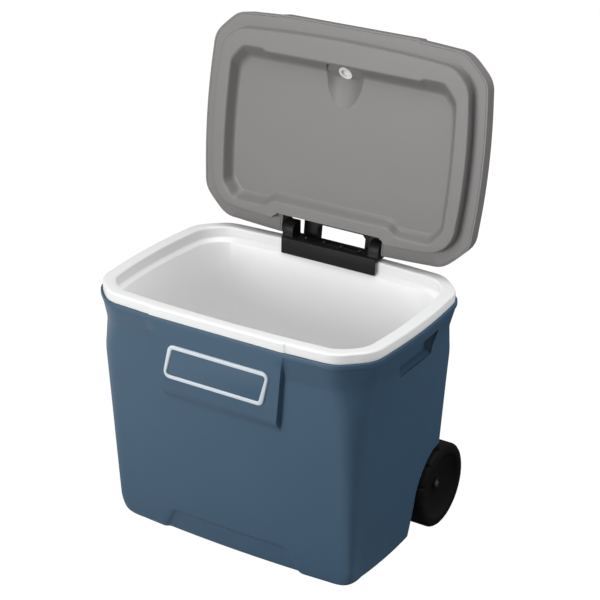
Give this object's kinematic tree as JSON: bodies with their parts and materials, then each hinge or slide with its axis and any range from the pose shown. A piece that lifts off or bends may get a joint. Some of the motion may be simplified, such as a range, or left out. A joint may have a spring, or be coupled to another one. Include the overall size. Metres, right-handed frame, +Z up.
{
  "type": "wheeled cooler",
  "caption": "Wheeled insulated cooler with a hinged lid shown open, side hand grips, a sliding tow handle at the back, an axle with wheels and a drain plug.",
  "frame": {"origin": "on the floor plane, under the middle of the whole object's box with the lid open", "axes": "+Z up, -Y towards the front wall with the blank name plate, +X to the right seen from the front; the axle and the lid's hinge line run along X"},
  "size_m": [0.56, 0.447, 0.8578],
  "materials": {
    "shell_blue": "satin",
    "lid_grey": "satin",
    "tub_white": "satin",
    "hinge_black": "satin",
    "foam_pale": "matte",
    "plate_pale": "satin",
    "wheel_black": "matte",
    "rubber_black": "matte",
    "axle_steel": "satin",
    "screw_steel": "satin",
    "tube_grey": "satin"
  },
  "bodies": {
    "cooler_body": {"axle_clip_left": "hinge_black", "axle_clip_middle": "hinge_black", "axle_clip_right": "hinge_black", "axle_push_nut_left": "screw_steel", "axle_push_nut_right": "screw_steel", "axle_rod": "axle_steel", "axle_washer_left": "axle_steel", "axle_washer_right": "axle_steel", "body_foam": "foam_pale", "body_liner": "tub_white", "body_shell": "shell_blue", "clamp_screw_1": "screw_steel", "clamp_screw_2": "screw_steel", "clamp_screw_3": "screw_steel", "clamp_screw_4": "screw_steel", "clamp_screw_5": "screw_steel", "clamp_screw_6": "screw_steel", "clamp_screw_7": "screw_steel", "clamp_screw_8": "screw_steel", "drain_nut": "tub_white", "drain_tube": "tub_white", "foot_bar": "rubber_black", "hinge_body_leaf": "hinge_black", "leaf_screw_1": "screw_steel", "leaf_screw_2": "screw_steel", "leaf_screw_3": "screw_steel", "leaf_screw_4": "screw_steel", "lower_clamp_left": "hinge_black", "lower_clamp_right": "hinge_black", "name_plate": "shell_blue", "name_plate_border": "plate_pale", "tow_sleeve_left": "tube_grey", "tow_sleeve_right": "tube_grey", "upper_clamp_left": "hinge_black", "upper_clamp_right": "hinge_black"},
    "lid": {"lid_cap": "lid_grey", "lid_foam": "foam_pale", "lid_liner": "lid_grey", "lid_fill_plug": "tub_white", "hinge_pin_left": "axle_steel", "hinge_pin_right": "axle_steel"},
    "tow_handle": {"tow_grip": "hinge_black", "tow_tube_left": "tube_grey", "tow_tube_right": "tube_grey"},
    "left_wheel": {"wheel_left": "wheel_black"},
    "right_wheel": {"wheel_right": "wheel_black"},
    "drain_stopper": {"drain_plug": "tub_white"}
  },
  "joints": [
    {"name": "lid_hinge", "type": "hinge", "parent": "cooler_body", "child": "lid", "pos_m": [0, 0.15918, 0.4788], "axis": [1, 0, 0], "range_deg": [0, 96.98]},
    {"name": "tow_slide", "type": "slide", "parent": "cooler_body", "child": "tow_handle", "axis": [0, 0.1215, 0.9926], "range_m": [0, 0.3]},
    {"name": "left_wheel_spin", "type": "hinge", "parent": "cooler_body", "child": "left_wheel", "pos_m": [-0.2345, 0.11913, 0.0775], "axis": [1, 0, 0], "continuous": true},
    {"name": "right_wheel_spin", "type": "hinge", "parent": "cooler_body", "child": "right_wheel", "pos_m": [0.2345, 0.11913, 0.0775], "axis": [1, 0, 0], "continuous": true},
    {"name": "drain_pull", "type": "slide", "parent": "cooler_body", "child": "drain_stopper", "axis": [-1, 0, 0], "range_m": [0, 0.02]}
  ]
}
